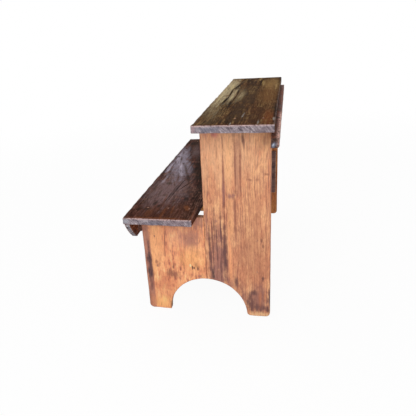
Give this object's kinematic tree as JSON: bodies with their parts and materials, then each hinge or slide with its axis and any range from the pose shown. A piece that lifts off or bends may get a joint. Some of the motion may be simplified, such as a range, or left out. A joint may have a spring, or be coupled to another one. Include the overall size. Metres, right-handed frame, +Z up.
{
  "type": "bucket bench",
  "caption": "Rustic two-level wooden bucket bench: high back shelf and lower front step shelf on arched board ends, nailed, with a clipped front apron and a narrow back rail.",
  "frame": {"origin": "on the floor, in the middle of the bench's length and depth", "axes": "+X to the right along the shelves, +Y to the back (the high shelf's side), +Z up"},
  "size_m": [0.99, 0.47, 0.66],
  "materials": {
    "end_board": "old honey-orange pine, worn shellac",
    "shelf": "very dark brown varnish, semi-gloss, checked and worn",
    "dark_wood": "dark red-brown stained pine, sawn grey end grain",
    "inner_wood": "bare aged grey-brown pine",
    "nail": "dark rusted iron"
  },
  "bodies": {
    "root": {"top_shelf": "shelf", "step_shelf": "shelf", "front_apron": "dark_wood", "front_rail": "dark_wood", "back_rail": "dark_wood", "tall_end_board_left": "end_board", "tall_end_board_right": "end_board", "step_end_board_left": "end_board", "step_end_board_right": "end_board", "end_batten_left": "inner_wood", "end_batten_right": "inner_wood", "end_batten_nails_left": "nail", "end_batten_nails_right": "nail", "top_shelf_nails": "nail", "step_shelf_nails": "nail", "apron_nails": "nail", "back_rail_nails": "nail"}
  },
  "joints": []
}
